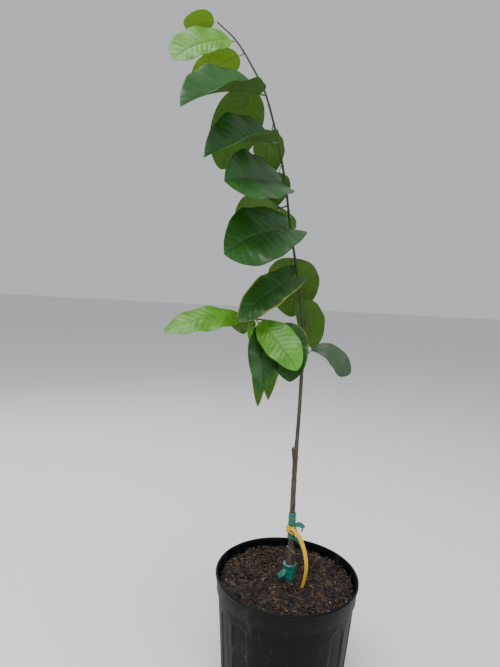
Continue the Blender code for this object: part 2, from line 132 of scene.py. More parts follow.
class Look:
    """A material with its shader, its place in the object and the patterns made from that."""

    def __init__(self, name, roughness=0.5, **constants):
        self.material = bpy.data.materials.new(name)
        self.material.use_nodes = True
        self.tree = self.material.node_tree
        self.shader = self.tree.nodes["Principled BSDF"]
        self.shader.inputs["Roughness"].default_value = roughness
        for key, value in constants.items():
            self.shader.inputs[key.replace("_", " ")].default_value = value
        place = self.tree.nodes.new("ShaderNodeTexCoord")
        self.place = Socket(self.tree, place.outputs["Object"])

    def attribute(self, name):
        made = self.place.node("ShaderNodeAttribute", {"attribute_name": name})
        return self.place.wrap(made.outputs["Fac"])

    def noise(self, scale, detail=3.0, roughness=0.55, at=None):
        made = self.place.node(
            "ShaderNodeTexNoise", Vector=at or self.place, Scale=scale, Detail=detail, Roughness=roughness
        )
        return self.place.wrap(made.outputs["Fac"])

    def cells(self, scale, feature="F1"):
        made = self.place.node("ShaderNodeTexVoronoi", {"feature": feature}, Vector=self.place, Scale=scale)
        return self.place.wrap(made.outputs["Distance"])

    def stretched(self, x, y, z):
        made = self.place.node("ShaderNodeVectorMath", {"operation": "MULTIPLY"}, i0=self.place, i1=(x, y, z))
        return self.place.wrap(made.outputs[0])

    def axis(self, index):
        made = self.place.node("ShaderNodeSeparateXYZ", i0=self.place)
        return self.place.wrap(made.outputs[index])

    def set(self, key, socket):
        self.tree.links.new(socket.output, self.shader.inputs[key])

    def bump(self, height, distance, strength=1.0):
        made = height.node("ShaderNodeBump", Height=height, Distance=distance, Strength=strength)
        self.set("Normal", height.wrap(made.outputs[0]))


# Leaves
@dataclass
class Leaf:
    """One leaf: where it starts on its stem, how it points, sinks, rolls and folds, and its outline."""

    name: str
    foot: float
    turn: float
    rise: float
    droop: float
    length: float
    width: float
    stem: str = "trunk"
    petiole: float = 0.012
    swing: float = 0.0
    roll: float = 0.0
    twist: float = 0.0
    right: float = 5.0
    left: float = 5.0
    right_wide: float = 1.0
    left_wide: float = 1.0
    curl: float = 0.0
    bend: float = 1.0
    base: float = 0.5
    tip: float = 0.65
    skew: float = 0.0
    square: float = 0.0
    lobes: float = 0.0
    wave: float = 0.003
    waves: float = 3.0
    young: bool = False
    worn: float = 0.1
    dull: float = 0.0


LEAVES = (
    Leaf("leaf_tip", 1.2709, 178, 0, 5, 0.056, 0.040, petiole=0.003, roll=-38, base=0.45, tip=0.55,
         skew=-0.15, wave=0.0, young=True),
    Leaf("leaf_crown_front", 1.238, 218, -14, 34, 0.134, 0.064, petiole=0.012, roll=60, right=0, left=4,
         right_wide=1.1, left_wide=0.75, base=0.4, tip=0.45, wave=0.002, young=True),
    Leaf("leaf_crown_back", 1.218, 150, -8, 28, 0.115, 0.065, petiole=0.010, roll=-30, wave=0.002,
         young=True),
    Leaf("leaf_front_1", 1.146, 224, -7, 32, 0.200, 0.120, petiole=0.012, swing=8, roll=45, right=10,
         left=50, tip=0.75, skew=0.12),
    Leaf("leaf_back_1", 1.172, 128, -34, 40, 0.165, 0.105, petiole=0.018, roll=-30, left_wide=0.85),
    Leaf("leaf_front_2", 1.062, 226, -8, 27, 0.185, 0.120, petiole=0.012, swing=8, roll=45, right=15,
         left=52, tip=0.85, skew=0.15, wave=0.004),
    Leaf("leaf_back_2", 1.098, 95, -20, 45, 0.110, 0.064, petiole=0.020, roll=-18),
    Leaf("leaf_front_3", 0.985, 232, 0, 20, 0.172, 0.124, swing=8, roll=42, twist=20, right=10, left=18,
         skew=0.2, square=0.06, lobes=0.02),
    Leaf("leaf_back_3", 1.026, 98, -22, 42, 0.085, 0.060, petiole=0.026, roll=-12),
    Leaf("leaf_front_4", 0.908, 228, -10, 22, 0.178, 0.125, swing=8, roll=36, twist=20, left=12, skew=0.2,
         square=0.1, lobes=0.04, worn=0.45),
    Leaf("leaf_back_4", 0.950, 116, 0, 65, 0.145, 0.128, petiole=0.022, roll=-25),
    Leaf("leaf_front_5", 0.820, 228, -21, 17, 0.158, 0.070, petiole=0.016, roll=38, left=0, left_wide=0.85,
         skew=0.1, square=0.1, lobes=0.04, worn=1.0),
    Leaf("leaf_back_5", 0.862, 85, -40, 50, 0.130, 0.105, roll=-5),
    Leaf("leaf_right_1", 0.775, 50, -40, 50, 0.102, 0.057, roll=20, tip=0.8, square=0.06, lobes=0.01),
    Leaf("leaf_right_2", 0.674, 345, 45, 125, 0.092, 0.042, petiole=0.010, bend=0.6, roll=-48, base=0.6,
         tip=0.3, wave=0.001, dull=0.7, worn=0.6),
    Leaf("shoot_leaf_long", 1.0, 200, 8, 38, 0.150, 0.060, stem="shoot", petiole=0.006, roll=30, left=-12,
         base=0.7, tip=0.75, wave=0.002, young=True),
    Leaf("shoot_leaf_bright", 0.95, 322, -30, 22, 0.114, 0.062, stem="shoot", petiole=0.011, roll=-38,
         left_wide=1.15, base=0.6, tip=0.65, wave=0.002, young=True),
    Leaf("shoot_leaf_dark", 0.81, 275, -62, 18, 0.125, 0.052, stem="shoot", petiole=0.008, roll=-5,
         tip=0.75, wave=0.002),
    Leaf("shoot_leaf_slim", 0.77, 98, -76, 12, 0.152, 0.034, stem="shoot", petiole=0.016, tip=0.8,
         wave=0.002),
    Leaf("shoot_leaf_hanging", 0.68, 85, -50, 35, 0.165, 0.050, stem="shoot", petiole=0.016, roll=10,
         tip=0.9, wave=0.002),
    Leaf("shoot_leaf_broad", 0.61, 305, -42, 40, 0.108, 0.074, stem="shoot", petiole=0.010, swing=-20,
         roll=-45, left_wide=1.1, wave=0.002, worn=0.8),
    Leaf("shoot_leaf_torn", 0.88, 150, -25, 10, 0.042, 0.038, stem="shoot", petiole=0.006, roll=-40,
         base=0.3, tip=0.15, wave=0.002),
    Leaf("shoot_leaf_young", 0.96, 262, -30, 25, 0.040, 0.014, stem="shoot", petiole=0.010, roll=50, wave=0.0,
         young=True),
)

TRUNK_ROUTE = (
    (0.005, 0.000, 0.2233, 0.0052),
    (0.005, 0.001, 0.300, 0.0050),
    (0.004, 0.002, 0.400, 0.0050),
    (0.004, 0.002, 0.470, 0.0048),
    (0.005, 0.001, 0.510, 0.0037),
    (0.006, 0.001, 0.590, 0.0035),
    (0.006, 0.000, 0.640, 0.0034),
    (0.009, 0.000, 0.680, 0.0036),
    (0.006, 0.000, 0.712, 0.0038),
    (-0.001, 0.000, 0.745, 0.0025),
    (-0.013, 0.000, 0.820, 0.0024),
    (-0.031, 0.000, 0.905, 0.0023),
    (-0.045, 0.000, 0.985, 0.0022),
    (-0.063, 0.000, 1.062, 0.0021),
    (-0.090, 0.000, 1.146, 0.0019),
    (-0.112, 0.000, 1.186, 0.0017),
    (-0.148, 0.000, 1.238, 0.0014),
    (-0.186, 0.000, 1.271, 0.0011),
)
SHOOT_ROUTE = (
    (0.006, 0.000, 0.712),
    (-0.010, -0.016, 0.722),
    (-0.045, -0.036, 0.733),
    (-0.075, -0.048, 0.737),
    (-0.098, -0.056, 0.738),
)
SHOOT_RADII = (0.0018, 0.0013)
PETIOLE_GAP = 0.0011
RIB_STATIONS = 40
NARROWEST = 0.03
BLADE_THICKNESS = 0.0005
ALONG_STEPS = 84
HALF_STEPS = 20
VEIN_PAIRS = 11
VEIN_SLANT = 0.20
VEIN_EASE = 0.4
VEIN_FADE = 0.55
VEIN_DEPTH = 0.0004
PUFF = 0.0007
STALK_SHARE = 0.010
STALK_THIN = 0.0007
STALK_THICK = 0.0016
STALK_SIDES = 10
STALK_RINGS = 22
STALK_END = 0.96
# Flesh, veins, underside and its veins
LEAF_COLOURS = {
    "dark": ((0.010, 0.062, 0.004), (0.006, 0.034, 0.003), (0.050, 0.120, 0.012), (0.120, 0.210, 0.035)),
    "young": ((0.060, 0.200, 0.007), (0.036, 0.130, 0.004), (0.130, 0.260, 0.010), (0.220, 0.360, 0.040)),
}
DEAD_EDGE = (0.42, 0.36, 0.035)
DEAD_SPOT = (0.012, 0.010, 0.006)
DULL_FILM = (0.050, 0.080, 0.045)


def through(points, spacing):
    """Points about this far apart on a smooth curve through these ones, with any further values."""
    rows = [np.array(point, float) for point in points]
    rows = [2 * rows[0] - rows[1], *rows, 2 * rows[-1] - rows[-2]]
    found = []
    for before, start, end, after in zip(rows, rows[1:], rows[2:], rows[3:]):
        steps = max(1, round(float(np.linalg.norm((end - start)[:3])) / spacing))
        for step in range(steps):
            t = step / steps
            linear = (end - before) * t
            square = (2 * before - 5 * start + 4 * end - after) * t**2
            cube = (3 * start - before - 3 * end + after) * t**3
            found.append(start + 0.5 * (linear + square + cube))
    return np.array([*found, rows[-2]])


TRUNK_LINE = through(TRUNK_ROUTE, 0.022)
SHOOT_LINE = through(SHOOT_ROUTE, 0.009)


def trunk_at(height):
    values = [np.interp(height, TRUNK_LINE[:, 2], TRUNK_LINE[:, column]) for column in (0, 1, 3)]
    return np.array([values[0], values[1], height]), float(values[2])


def shoot_at(share):
    steps = np.linalg.norm(np.diff(SHOOT_LINE, axis=0), axis=1)
    along = np.concatenate([[0.0], np.cumsum(steps)]) / steps.sum()
    middle = np.array([np.interp(share, along, SHOOT_LINE[:, column]) for column in range(3)])
    return middle, SHOOT_RADII[0] + (SHOOT_RADII[1] - SHOOT_RADII[0]) * share


def heading(turn, rise):
    turn, rise = math.radians(turn), math.radians(rise)
    return np.array([math.cos(rise) * math.cos(turn), math.cos(rise) * math.sin(turn), math.sin(rise)])


class Blade:
    """Places the points of one leaf's blade and rib."""

    def __init__(self, leaf):
        self.leaf = leaf
        self.stem, self.bark = trunk_at(leaf.foot) if leaf.stem == "trunk" else shoot_at(leaf.foot)
        out = heading(leaf.turn, 0)
        self.skin = self.stem + out * (self.bark + PETIOLE_GAP)
        self.knee = self.skin + out * PETIOLE_GAP
        points = [self.knee + heading(leaf.turn, leaf.rise) * leaf.petiole]
        for station in range(RIB_STATIONS):
            share = (station + 0.5) / RIB_STATIONS
            points.append(points[-1] + leaf.length / RIB_STATIONS * heading(*self.course(share)))
        self.rib = np.array(points)

    def course(self, share):
        leaf = self.leaf
        return leaf.turn + leaf.swing * share, leaf.rise - leaf.droop * share**leaf.bend

    def rib_point(self, share):
        stations = np.linspace(0, 1, RIB_STATIONS + 1)
        return np.array([np.interp(share, stations, self.rib[:, axis]) for axis in range(3)])

    def frame(self, share):
        turn, rise = self.course(share)
        along = heading(turn, rise)
        level = -heading(turn + 90, 0)
        above = np.cross(level, along)
        roll = math.radians(self.leaf.roll + self.leaf.twist * share)
        right = math.cos(roll) * level + math.sin(roll) * above
        return along, right, np.cross(right, along)

    def half_width(self, share, side):
        leaf = self.leaf
        base = leaf.base - side * leaf.skew / 2
        tip = leaf.tip + side * leaf.skew
        inset = leaf.square + (1 - leaf.square) * share
        full = (base / (base + tip)) ** base * (tip / (base + tip)) ** tip
        wide = leaf.right_wide if side > 0 else leaf.left_wide
        return wide * leaf.width / 2 * max(NARROWEST, inset**base * (1 - inset) ** tip / full)

    def relief(self, share, out):
        """Height of the blade's top over its middle surface."""
        leaf = self.leaf
        phase = (share - VEIN_SLANT * out * (1 - VEIN_EASE * share)) * VEIN_PAIRS
        off = abs(phase - round(phase))
        vein = math.exp(-((off / 0.085) ** 2)) * (1 - VEIN_FADE * out)
        rib = math.exp(-((out / (0.035 + 0.03 * share)) ** 2))
        scale = min(1.0, leaf.width / 0.10)
        across = math.sin(math.pi * min(1.0, out * 1.02)) ** 0.7
        puff = PUFF * scale * across * (1 - math.cos(math.tau * off)) * 0.5
        return puff - VEIN_DEPTH * scale * vein - 1.3 * VEIN_DEPTH * scale * rib

    def point(self, share, across):
        leaf = self.leaf
        along, right, above = self.frame(share)
        side = 1 if across >= 0 else -1
        out = abs(across)
        arc = math.radians(leaf.curl * out / 2)
        reach = self.half_width(share, side) * out * (math.sin(arc) / arc if arc else 1.0)
        fold = math.radians(leaf.right if side > 0 else leaf.left) - arc
        ends = min(1, 4 * share, 4 * (1 - share))
        phase = 0 if side > 0 else 1.7
        ripple = leaf.wave * math.sin(math.tau * leaf.waves * share + phase) * out**2 * ends
        back = leaf.lobes * math.sin(0.75 * math.pi * out) * (1 - share) ** 3
        sideways = side * reach * math.cos(fold) * right
        lift = reach * math.sin(fold) + ripple + self.relief(share, out) * ends
        return self.rib_point(share) + sideways + lift * above - back * along


def leaf_looks():
    """Top and underside materials. The mesh stores the shares along and to the margin, and the wear."""
    made = {}
    for name, (flesh, vein, under, under_vein) in LEAF_COLOURS.items():
        made[name] = (leaf_top(name, flesh, vein), leaf_under(name, under, under_vein))
    return made


def leaf_top(name, flesh, vein):
    top = Look(f"{name}_leaf_top", 0.3, Coat_Weight=0.12, Coat_Roughness=0.12, Specular_IOR_Level=0.3)
    margin = top.attribute("margin")
    veins = top.attribute("share").veins(margin)
    worn, dull = top.attribute("worn"), top.attribute("dull")
    mottle = top.noise(38.0, 4.0)
    fresh = colour(mottle.step(0.35, 0.7), flesh, tuple(c * 1.45 for c in flesh))
    base = colour(veins * 0.8, fresh, vein)
    edge = ((margin + top.noise(55.0) * 0.35 - 1.28 + worn * 0.22) * 6.0).clamp() * worn.step(0.15, 0.6)
    base = colour(edge * 0.85, base, DEAD_EDGE)
    spots = (1 - top.cells(150.0).step(0.05, 0.16)) * top.noise(30.0).step(0.5, 0.62) * worn
    base = colour(spots.clamp(), base, DEAD_SPOT)
    base = colour(dull, base, DULL_FILM)
    top.set("Base Color", base)
    top.set("Roughness", (0.32 + mottle * 0.2 + dull * 0.3).clamp())
    drops = (1 - top.cells(420.0).step(0.06, 0.22)) * top.noise(24.0).step(0.5, 0.6)
    top.bump(drops + top.noise(700.0, 2.0) * 0.12 - veins * 0.5, 0.0006, 0.7)
    return top.material


def leaf_under(name, under, under_vein):
    low = Look(f"{name}_leaf_under", 0.62, Specular_IOR_Level=0.15)
    veins, mottle = low.attribute("share").veins(low.attribute("margin")), low.noise(45.0, 4.0)
    net = 1 - low.cells(330.0, "DISTANCE_TO_EDGE").step(0.0, 0.10)
    veins = (veins + net * 0.22).clamp()
    flesh_low = colour(mottle, under, tuple(c * 1.3 for c in under))
    low.set("Base Color", colour(veins * 0.7, flesh_low, under_vein))
    low.bump(veins + low.noise(600.0, 2.0) * 0.3, 0.0006, 0.7)
    return low.material


def own(obj, node):
    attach(obj, "root")
    if node:
        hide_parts(node)
    return obj


def mesh_object(name, bm, materials):
    mesh = bpy.data.meshes.new(name)
    bm.to_mesh(mesh)
    bm.free()
    obj = bpy.data.objects.new(name, mesh)
    bpy.context.scene.collection.objects.link(obj)
    for material in materials:
        mesh.materials.append(material)
    for polygon in mesh.polygons:
        polygon.use_smooth = True
    return obj


def skin_rows(bm, rows):
    """Adds the faces between these rows of vertices."""
    for lower, upper in zip(rows, rows[1:]):
        for step in range(len(lower) - 1):
            bm.faces.new((lower[step], lower[step + 1], upper[step + 1], upper[step]))


def thicken(obj, thickness):
    solid = obj.modifiers.new("thickness", "SOLIDIFY")
    solid.thickness = thickness
    solid.offset = 0.0
    return solid


def tube_mesh(bm, points, radii, sides=12):
    """Adds a closed round tube along these points."""
    rings = []
    side = None
    for index, (point, radius) in enumerate(zip(points, radii)):
        before, after = points[max(0, index - 1)], points[min(len(points) - 1, index + 1)]
        along = Vector(after) - Vector(before)
        along.normalize()
        side = along.orthogonal() if side is None else side - along * side.dot(along)
        side.normalize()
        other = along.cross(side)
        ring = []
        for step in range(sides):
            angle = math.tau * step / sides
            offset = side * math.cos(angle) + other * math.sin(angle)
            ring.append(bm.verts.new(Vector(point) + offset * radius))
        rings.append(ring)
    for lower, upper in zip(rings, rings[1:]):
        for step in range(sides):
            nxt = (step + 1) % sides
            bm.faces.new((lower[step], lower[nxt], upper[nxt], upper[step]))
    bm.faces.new(rings[0][::-1])
    bm.faces.new(rings[-1])
    return rings


def build_leaf(leaf, looks):
    blade = Blade(leaf)
    bm = bmesh.new()
    keys = ("share", "margin", "worn", "dull")
    layers = [bm.verts.layers.float.new(key) for key in keys]
    rows = []
    for i in range(ALONG_STEPS + 1):
        share = 0.5 - 0.5 * math.cos(math.pi * i / ALONG_STEPS)
        row = []
        for j in range(-HALF_STEPS, HALF_STEPS + 1):
            across = j / HALF_STEPS
            vert = bm.verts.new(blade.point(share, across))
            values = (share, abs(across), leaf.worn, leaf.dull)
            for layer, value in zip(layers, values):
                vert[layer] = value
            row.append(vert)
        rows.append(row)
    skin_rows(bm, rows)
    obj = mesh_object(f"look_{leaf.name}", bm, looks["young" if leaf.young else "dark"])
    solid = thicken(obj, BLADE_THICKNESS)
    solid.material_offset = 1
    solid.material_offset_rim = 0
    own(obj, leaf.name)
    build_stalk(leaf, blade)


def build_stalk(leaf, blade):
    """The petiole and the rib under the blade, as one tube that thins towards the tip."""
    thick = min(STALK_THICK, max(STALK_THIN, STALK_SHARE * leaf.length))
    stalk = bmesh.new()
    shares = np.linspace(0, STALK_END, STALK_RINGS)
    below = [blade.frame(share)[2] * thick * (0.75 - 0.2 * share) for share in shares]
    rib = [blade.rib_point(share) - drop for share, drop in zip(shares, below)]
    line = [blade.skin, blade.knee, *rib]
    radii = [thick * 1.15, thick * 1.05, *[thick * (1 - 0.85 * share) for share in shares]]
    tube_mesh(stalk, line, radii, STALK_SIDES)
    stem = mesh_object(f"look_{leaf.name}_rib", stalk, [STALK_YOUNG if leaf.young else STALK])
    own(stem, None)


# Materials of the rest
def plastic_look():
    look = Look("pot_plastic", 0.42, Specular_IOR_Level=0.14)
    height = look.axis(2)
    scuff = look.noise(30.0, 5.0, 0.7, look.stretched(1.0, 1.0, 0.35))
    fine = look.noise(260.0, 3.0)
    dust = look.noise(14.0, 5.0, 0.65).step(0.48, 0.72) * (1 - height.step(0.08, 0.21))
    rubbed = (scuff.step(0.52, 0.72) * fine.step(0.3, 0.7)).clamp()
    base = colour(rubbed, (0.0022, 0.0025, 0.003), (0.045, 0.055, 0.070))
    look.set("Base Color", colour(dust * 0.5, base, (0.050, 0.036, 0.020)))
    look.set("Roughness", (0.30 + scuff * 0.35 + dust * 0.3).clamp())
    look.bump(fine * 0.4 + scuff * 0.6, 0.0004, 0.5)
    return look.material


def bark_look():
    look = Look("bark_skin", 0.75)
    height = look.axis(2)
    ridges = look.noise(120.0, 6.0, 0.7, look.stretched(2.5, 2.5, 0.35))
    lichen = look.noise(70.0, 4.0).step(0.52, 0.66)
    woody = colour(ridges.step(0.3, 0.7), (0.022, 0.015, 0.009), (0.105, 0.080, 0.052))
    woody = colour(lichen * 0.45, woody, (0.13, 0.125, 0.095))
    green = colour(ridges, (0.010, 0.028, 0.006), (0.035, 0.070, 0.014))
    rise = (height + look.noise(25.0) * 0.12).step(0.66, 0.84)
    look.set("Base Color", colour(rise, woody, green))
    look.bump(ridges, 0.0012, 0.9)
    return look.material


def soil_look():
    look = Look("bark_mix", 0.9)
    grain = look.noise(160.0, 6.0, 0.7)
    look.set("Base Color", colour(grain.step(0.35, 0.7), (0.004, 0.003, 0.0025), (0.028, 0.016, 0.010)))
    look.bump(grain, 0.003, 1.0)
    return look.material


def chip_look():
    look = Look("bark_chip", 0.85)
    shade = look.attribute("shade")
    grain = look.noise(300.0, 4.0)
    base = colour(shade, (0.005, 0.0035, 0.003), (0.085, 0.040, 0.018))
    look.set("Base Color", colour(grain * 0.35, base, (0.02, 0.014, 0.01)))
    look.bump(grain, 0.0008, 0.8)
    return look.material


def plain(name, tint, roughness, spread=0.25):
    look = Look(name, roughness)
    grain = look.noise(90.0, 3.0)
    dark = tuple(c * (1 - spread) for c in tint)
    look.set("Base Color", colour(grain, dark, tuple(min(1.0, c * (1 + spread)) for c in tint)))
    look.bump(look.noise(260.0, 2.0, 0.5, look.stretched(1.0, 1.0, 4.0)), 0.0004, 0.5)
    return look.material


STALK = plain("leaf_stalk", (0.050, 0.110, 0.016), 0.5)
STALK_YOUNG = plain("young_stalk", (0.130, 0.260, 0.020), 0.5)
LOOKS = leaf_looks()
for each in LEAVES:
    build_leaf(each, LOOKS)


# Trunk and side shoot
STOCK_PROFILE = ((0.2233, 0.0118), (0.232, 0.0103), (0.250, 0.0096), (0.275, 0.0094), (0.306, 0.0088))
STOCK_MIDDLE = 0.006
STOCK_TOP = 0.286
STOCK_SLANT = 40.0
STUBS = (
    ((0.0035, 0.002, 0.452), (-0.0010, 0.001, 0.490), 0.0040),
    ((0.0070, 0.000, 0.700), (0.0075, 0.001, 0.742), 0.0021),
)
STUB_RINGS = 14
NODE_SPACING = 0.047
BARK_SIDES = 24
BARK_SPACING = 0.0018
SHOOT_SPACING = 0.0016
SHOOT_FLARE = 0.0012


def roughened(rings, points, grain, knob):
    """Pushes a tube's skin in and out: long bark ridges, uneven girth and a ring at each old leaf scar."""
    for ring, point in zip(rings, points):
        middle = Vector(point)
        for vert in ring:
            out = vert.co - middle
            place = Vector((vert.co.x, vert.co.y, vert.co.z * 0.3))
            ridges = grain * noise.noise(place * 520) + 0.5 * grain * noise.noise(vert.co * 900)
            girth = 0.07 * noise.noise(Vector((0.0, 0.0, vert.co.z)) * 75)
            scar = knob * max(0.0, math.cos(math.tau * vert.co.z / NODE_SPACING)) ** 18
            vert.co = middle + out * (1 + ridges + girth + scar)


def stem_piece(name, points, radii, material, node, grain=0.09, knob=0.14):
    bm = bmesh.new()
    rings = tube_mesh(bm, points, radii, BARK_SIDES)
    roughened(rings, points, grain, knob)
    return own(mesh_object(name, bm, [material]), node)


def build_stems():
    bark, cut = bark_look(), plain("cut_wood", (0.34, 0.22, 0.15), 0.7)
    line = through(TRUNK_ROUTE, BARK_SPACING)
    stem_piece("look_trunk", line[:, :3], line[:, 3], bark, "trunk")
    heights = np.linspace(STOCK_PROFILE[0][0], STOCK_PROFILE[-1][0], 60)
    radii = np.interp(heights, *zip(*STOCK_PROFILE))
    points = [(STOCK_MIDDLE, 0.0, height) for height in heights]
    stock = stem_piece("look_stock", points, radii, bark, None, 0.10, 0.0)
    slab = bmesh.new()
    bmesh.ops.create_cube(slab, size=0.08)
    cutter = mesh_object("stock_cut", slab, [cut])
    cutter.location = (STOCK_MIDDLE + 0.024, -0.004, STOCK_TOP + 0.033)
    cutter.rotation_euler = (math.radians(-10), math.radians(STOCK_SLANT), 0)
    carve(stock, cutter)
    for index, (foot, tip, radius) in enumerate(STUBS, 1):
        steps = np.linspace(0, 1, STUB_RINGS)
        points = [np.array(foot) + (np.array(tip) - np.array(foot)) * step for step in steps]
        stub = stem_piece(f"look_stub_{index}", points, [radius] * STUB_RINGS, bark, None, 0.08, 0.0)
        stub.data.materials.append(cut)
        stub.data.polygons[-1].material_index = 1
        stub.data.polygons[-1].use_smooth = False
    skin = plain("shoot_skin", (0.040, 0.070, 0.018), 0.55)
    line = through(SHOOT_ROUTE, SHOOT_SPACING)
    steps = np.linspace(0, 1, len(line))
    radii = [0.0017 - 0.0004 * step + SHOOT_FLARE * max(0.0, 1 - 9 * step) for step in steps]
    stem_piece("look_side_shoot", line, radii, skin, "side_shoot", 0.05, 0.10)


def carve(obj, cutter):
    """Cuts the cutter out of the object and removes it. The cut face keeps the cutter's material."""
    bpy.context.view_layer.update()
    modifier = obj.modifiers.new("cut", "BOOLEAN")
    modifier.operation = "DIFFERENCE"
    modifier.solver = "EXACT"
    modifier.material_mode = "TRANSFER"
    modifier.object = cutter
    graph = bpy.context.evaluated_depsgraph_get()
    cut = bpy.data.meshes.new_from_object(obj.evaluated_get(graph))
    obj.modifiers.remove(modifier)
    obj.data = cut
    bpy.data.objects.remove(cutter, do_unlink=True)


build_stems()


# Ties and tag
SLEEVE_RINGS = 60
SLEEVE_SIDES = 48
STRIP_SPACING = 0.002
STRIP_STEPS = 6
STRIP_CUP = 0.06
FILM_THICKNESS = 0.0005
TAG_THICKNESS = 0.0008
TAG_MIDDLE = 0.0045
TAG_RADIUS = 0.0108
TAG_HEIGHT = 0.328
TAG_TILT = 0.0035
TAG_STEPS = 24


def wound(name, foot, top, radius, pitch, material, node):
    """A sleeve of film wound round the stem, with a step where each turn laps over the last."""
    bm = bmesh.new()
    middle = trunk_at((foot + top) / 2)[0]
    heights = np.linspace(foot, top, SLEEVE_RINGS)
    points = [(middle[0], middle[1], height) for height in heights]
    rings = tube_mesh(bm, points, [radius] * len(points), SLEEVE_SIDES)
    for ring, point in zip(rings, points):
        for step, vert in enumerate(ring):
            turn = ((vert.co.z - foot) / pitch + step / SLEEVE_SIDES) % 1.0
            creases = noise.noise(Vector((step * 0.5, vert.co.z * 60, radius * 90)))
            pull = 0.09 * turn + 0.06 * creases
            vert.co = Vector(point) + (vert.co - Vector(point)) * (1 - pull)
    own(mesh_object(name, bm, [material]), node)


def strip(name, points, width, across, thickness, material, node=None, curl=0.0):
    """A thin strip along these points. Its sides point along across, turned by curl degrees on its way."""
    line = through(points, STRIP_SPACING)
    bm = bmesh.new()
    rows = []
    for index, point in enumerate(line):
        before, after = line[max(0, index - 1)], line[min(len(line) - 1, index + 1)]
        along = Vector(after - before).normalized()
        turn = Matrix.Rotation(math.radians(curl * index / len(line)), 3, along)
        side = turn @ Vector(across)
        side = (side - along * side.dot(along)).normalized()
        row = []
        for step in range(STRIP_STEPS + 1):
            share = 2 * step / STRIP_STEPS - 1
            cup = STRIP_CUP * width * (1 - share**2)
            row.append(bm.verts.new(Vector(point) + side * share * width / 2 + side.cross(along) * cup))
        rows.append(row)
    skin_rows(bm, rows)
    obj = mesh_object(name, bm, [material])
    thicken(obj, thickness)
    return own(obj, node)


def build_tape():
    film = Look("teal_film", 0.28, Coat_Weight=0.3)
    folds = film.noise(120.0, 4.0, 0.6, film.stretched(1.0, 1.0, 3.0))
    # The film's colour follows the folds' height and is darker in their hollows: painted shade in the folds.
    film.set("Base Color", colour(folds, (0.001, 0.085, 0.060), (0.004, 0.22, 0.16)))
    film.bump(folds, 0.001, 0.8)
    teal = film.material
    wound("look_tie_upper", 0.308, 0.359, radius=0.0078, pitch=0.011, material=teal, node="tie_upper")
    wound("look_tie_lower", 0.228, 0.257, radius=0.0139, pitch=0.010, material=teal, node="tie_lower")
    ear = ((0.008, -0.006, 0.334), (0.017, -0.009, 0.341), (0.026, -0.011, 0.336), (0.022, -0.013, 0.329))
    strip("look_tie_ear", ear, 0.009, (0.1, 0.6, 0.8), FILM_THICKNESS, teal, curl=50)
    tail = ((0.008, -0.006, 0.314), (0.017, -0.010, 0.309), (0.025, -0.012, 0.299), (0.027, -0.012, 0.288))
    strip("look_tie_tail", tail, 0.007, (0.3, 0.7, 0.6), FILM_THICKNESS, teal, curl=70)
    flap = ((-0.002, -0.011, 0.246), (-0.010, -0.014, 0.243), (-0.018, -0.012, 0.236))
    strip("look_tie_flap", flap, 0.011, (0.0, 0.3, 1.0), FILM_THICKNESS, teal, curl=30)


def build_tag():
    yellow = plain("yellow_film", (0.78, 0.47, 0.004), 0.4, 0.06)
    loop = []
    for step in range(TAG_STEPS + 1):
        angle = math.tau * step / TAG_STEPS - 0.9
        height = TAG_HEIGHT + TAG_TILT * math.sin(angle * 2)
        loop.append((TAG_MIDDLE + TAG_RADIUS * math.cos(angle), TAG_RADIUS * math.sin(angle), height))
    strip("look_tag_loop", loop, 0.0115, (0.0, 0.0, 1.0), TAG_THICKNESS, yellow, "plant_tag")
    tail = (
        (0.004, -0.0105, 0.334), (0.016, -0.0150, 0.323), (0.028, -0.022, 0.300), (0.034, -0.029, 0.272),
        (0.032, -0.035, 0.250), (0.027, -0.039, 0.230),
    )
    strip("look_tag_tail", tail, 0.0100, (0.8, 0.6, 0.0), TAG_THICKNESS, yellow, curl=-15)
    # The slot is a dark strip laid on the loop: painted shade where the slot opens into the loop.
    dark = plain("tag_slot", (0.015, 0.015, 0.012), 0.5)
    slot_shade_line = ((0.0005, -0.0118, 0.3285), (0.0035, -0.0122, 0.3285), (0.0065, -0.0118, 0.3285))
    strip("look_tag_slot", slot_shade_line, 0.0022, (0.0, 0.0, 1.0), 0.0006, dark)
    pale = plain("tag_latch", (0.75, 0.76, 0.72), 0.4, 0.05)
    latch = ((0.0125, -0.0090, 0.336), (0.0150, -0.0105, 0.335), (0.0175, -0.0115, 0.332))
    strip("look_tag_latch", latch, 0.0045, (0.3, 0.6, 0.7), 0.0010, pale)


build_tape()
build_tag()


# Pot
POT_HEIGHT = 0.240
LIP_RADIUS = 0.140
LIP_HEIGHT = 0.007
BAND_RADIUS = 0.1375
BAND_FOOT = 0.206
FOOT_RADIUS = 0.1175
WALL = 0.0024
POT_STEPS = 360
FLUTE_PITCH = 19.0
FLUTE_WIDTH = 0.036
FLUTE_TOP = 0.190
FLUTE_FOOT = 0.018
FLUTE_DEPTH = 0.0019
DRAIN_HOLES = 8
DRAIN_RING = 0.094
DRAIN_RADIUS = 0.006
STEP_IN = 0.0038
WALL_TOP = 0.2028
WALL_RINGS = 84
FLOOR_OPENING = 0.105
FLOOR_RADIUS = 0.106


def wall_radius(height):
    return FOOT_RADIUS + (BAND_RADIUS - STEP_IN - FOOT_RADIUS) * height / WALL_TOP


def flute(angle, height):
    """How far the wall is pressed in at this angle, in degrees round from +X, and height."""
    side = abs((angle + 180) % 360 - 180)
    side = min(side, 180 - side)
    if side > 2.5 * FLUTE_PITCH + 10:
        return 0.0
    middle = (round(side / FLUTE_PITCH - 0.5) + 0.5) * FLUTE_PITCH
    x = math.radians(side - min(middle, 2.5 * FLUTE_PITCH)) * wall_radius(height)
    half = FLUTE_WIDTH / 2
    over = height - (FLUTE_TOP - half)
    away = (math.hypot(x, over) if over > 0 else abs(x)) - half
    away = max(away, FLUTE_FOOT - height)
    share = min(1.0, max(0.0, (0.0010 - away) / 0.0045))
    return FLUTE_DEPTH * share * share * (3 - 2 * share)


